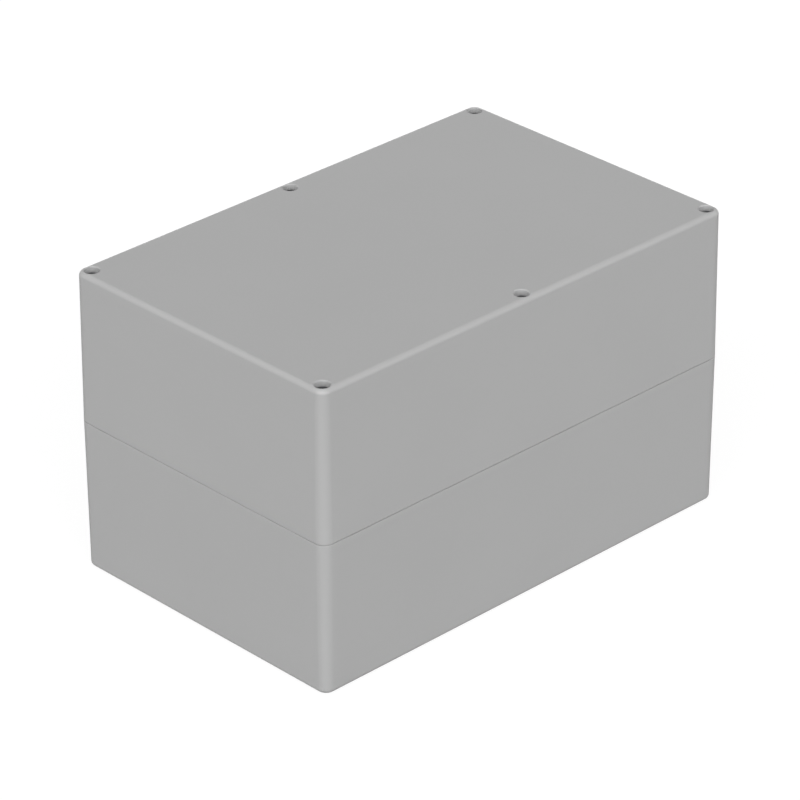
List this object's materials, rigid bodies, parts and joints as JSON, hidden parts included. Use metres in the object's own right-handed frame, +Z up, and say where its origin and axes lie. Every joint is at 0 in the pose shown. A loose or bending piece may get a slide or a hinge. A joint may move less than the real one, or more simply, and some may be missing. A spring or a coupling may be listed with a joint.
{
  "type": "polycarbonate enclosure",
  "caption": "Deep rectangular plastic enclosure in two equal halves, with a lift-off lid, sealed seam, captive cover screws and wall-mounting holes outside the seal.",
  "frame": {"origin": "middle of the underside, on the surface that the enclosure stands on", "axes": "+X along the length, +Y across the width, +Z up from the underside to the lid"},
  "size_m": [0.25, 0.16, 0.15],
  "materials": {
    "shell": "light grey polycarbonate, moulded with a fine satin texture",
    "gasket": "black moulded elastomer",
    "steel": "turned steel, chemically blackened",
    "brass": "turned brass",
    "nylon": "natural moulded nylon"
  },
  "bodies": {
    "base": {"base": "shell", "screw_insert_1": "brass", "screw_insert_2": "brass", "screw_insert_3": "brass", "screw_insert_4": "brass", "screw_insert_5": "brass", "screw_insert_6": "brass", "plate_insert_1": "brass", "plate_insert_2": "brass", "plate_insert_3": "brass", "plate_insert_4": "brass"},
    "lid": {"lid": "shell", "gasket": "gasket", "screw_retainer_1": "nylon", "screw_retainer_2": "nylon", "screw_retainer_3": "nylon", "screw_retainer_4": "nylon", "screw_retainer_5": "nylon", "screw_retainer_6": "nylon"},
    "cover_screw_1": {"cover_screw_1": "steel"},
    "cover_screw_2": {"cover_screw_2": "steel"},
    "cover_screw_3": {"cover_screw_3": "steel"},
    "cover_screw_4": {"cover_screw_4": "steel"},
    "cover_screw_5": {"cover_screw_5": "steel"},
    "cover_screw_6": {"cover_screw_6": "steel"}
  },
  "joints": [
    {"name": "lid_lift", "type": "slide", "parent": "base", "child": "lid", "axis": [0, 0, 1], "range_m": [0, 0.12]},
    {"name": "cover_screw_1_undo", "type": "slide", "parent": "lid", "child": "cover_screw_1", "axis": [0, 0, 1], "range_m": [0, 0.0109]},
    {"name": "cover_screw_2_undo", "type": "slide", "parent": "lid", "child": "cover_screw_2", "axis": [0, 0, 1], "range_m": [0, 0.0109]},
    {"name": "cover_screw_3_undo", "type": "slide", "parent": "lid", "child": "cover_screw_3", "axis": [0, 0, 1], "range_m": [0, 0.0109]},
    {"name": "cover_screw_4_undo", "type": "slide", "parent": "lid", "child": "cover_screw_4", "axis": [0, 0, 1], "range_m": [0, 0.0109]},
    {"name": "cover_screw_5_undo", "type": "slide", "parent": "lid", "child": "cover_screw_5", "axis": [0, 0, 1], "range_m": [0, 0.0109]},
    {"name": "cover_screw_6_undo", "type": "slide", "parent": "lid", "child": "cover_screw_6", "axis": [0, 0, 1], "range_m": [0, 0.0109]}
  ]
}
